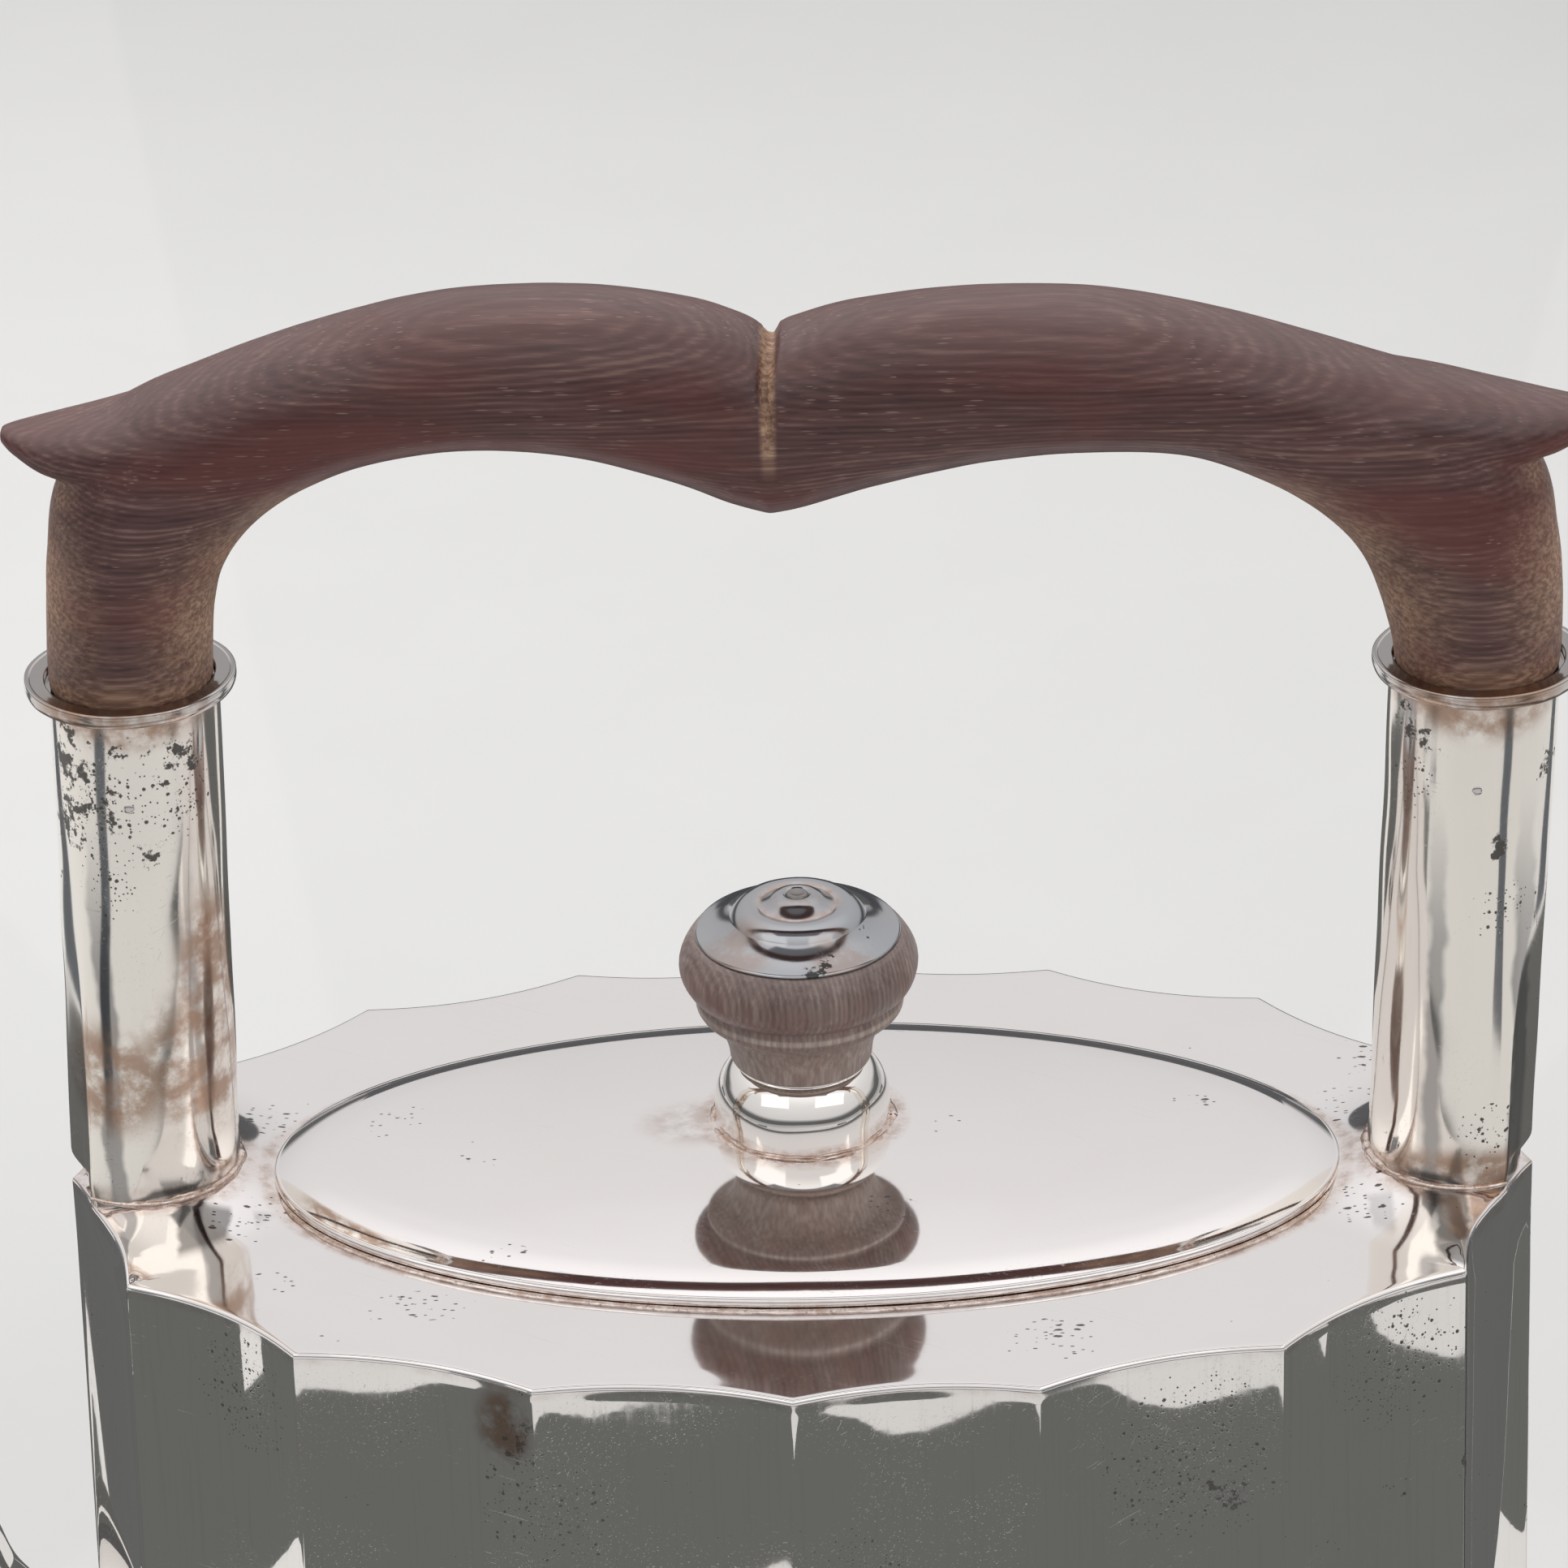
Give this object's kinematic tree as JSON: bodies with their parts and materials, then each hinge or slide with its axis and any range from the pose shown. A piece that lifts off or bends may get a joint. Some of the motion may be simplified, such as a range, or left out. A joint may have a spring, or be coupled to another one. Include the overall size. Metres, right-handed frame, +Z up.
{
  "type": "teapot",
  "caption": "Oval fluted silver teapot: swan-neck spout, upright posts carrying a carved wooden handle, and a back-hinged domed lid with a turned knob.",
  "frame": {"origin": "middle of the pot's flat resting face, on the axis of the oval pot", "axes": "+X along the pot's length away from the spout, +Y to the back where the lid is hinged, +Z up"},
  "size_m": [0.1996, 0.092, 0.1887],
  "materials": {
    "silver": "polished old silver, softly worn, with tarnish specks",
    "solder": "tarnished silver solder, slightly pink",
    "handle_wood": "dark reddish brown carved hardwood, satin",
    "knob_wood": "grey brown turned hardwood, worn"
  },
  "bodies": {
    "pot": {"body_wall": "silver", "base_plate": "silver", "foot_rim": "silver", "deck_plate": "silver", "lid_bezel": "solder", "spout": "silver", "spout_seam": "solder", "post_left": "silver", "post_right": "silver", "post_seam_left": "solder", "post_seam_right": "solder", "post_collar_left": "silver", "post_collar_right": "silver", "handle_pin_left": "silver", "handle_pin_right": "silver", "handle": "handle_wood", "pot_hinge_knuckles": "silver", "pot_hinge_plate": "silver", "hinge_pin": "silver"},
    "lid": {"lid_plate": "silver", "lid_flange": "silver", "lid_hinge_knuckle": "silver", "lid_hinge_strap": "silver", "knob_seam": "solder", "knob_ferrule": "silver", "knob_wood": "knob_wood", "knob_cap": "silver", "knob_stud": "silver"}
  },
  "joints": [
    {"name": "lid_hinge", "type": "hinge", "parent": "pot", "child": "lid", "pos_m": [-0.0014, 0.0316, 0.09375], "axis": [-1, 0, 0], "range_deg": [0, 100]}
  ]
}
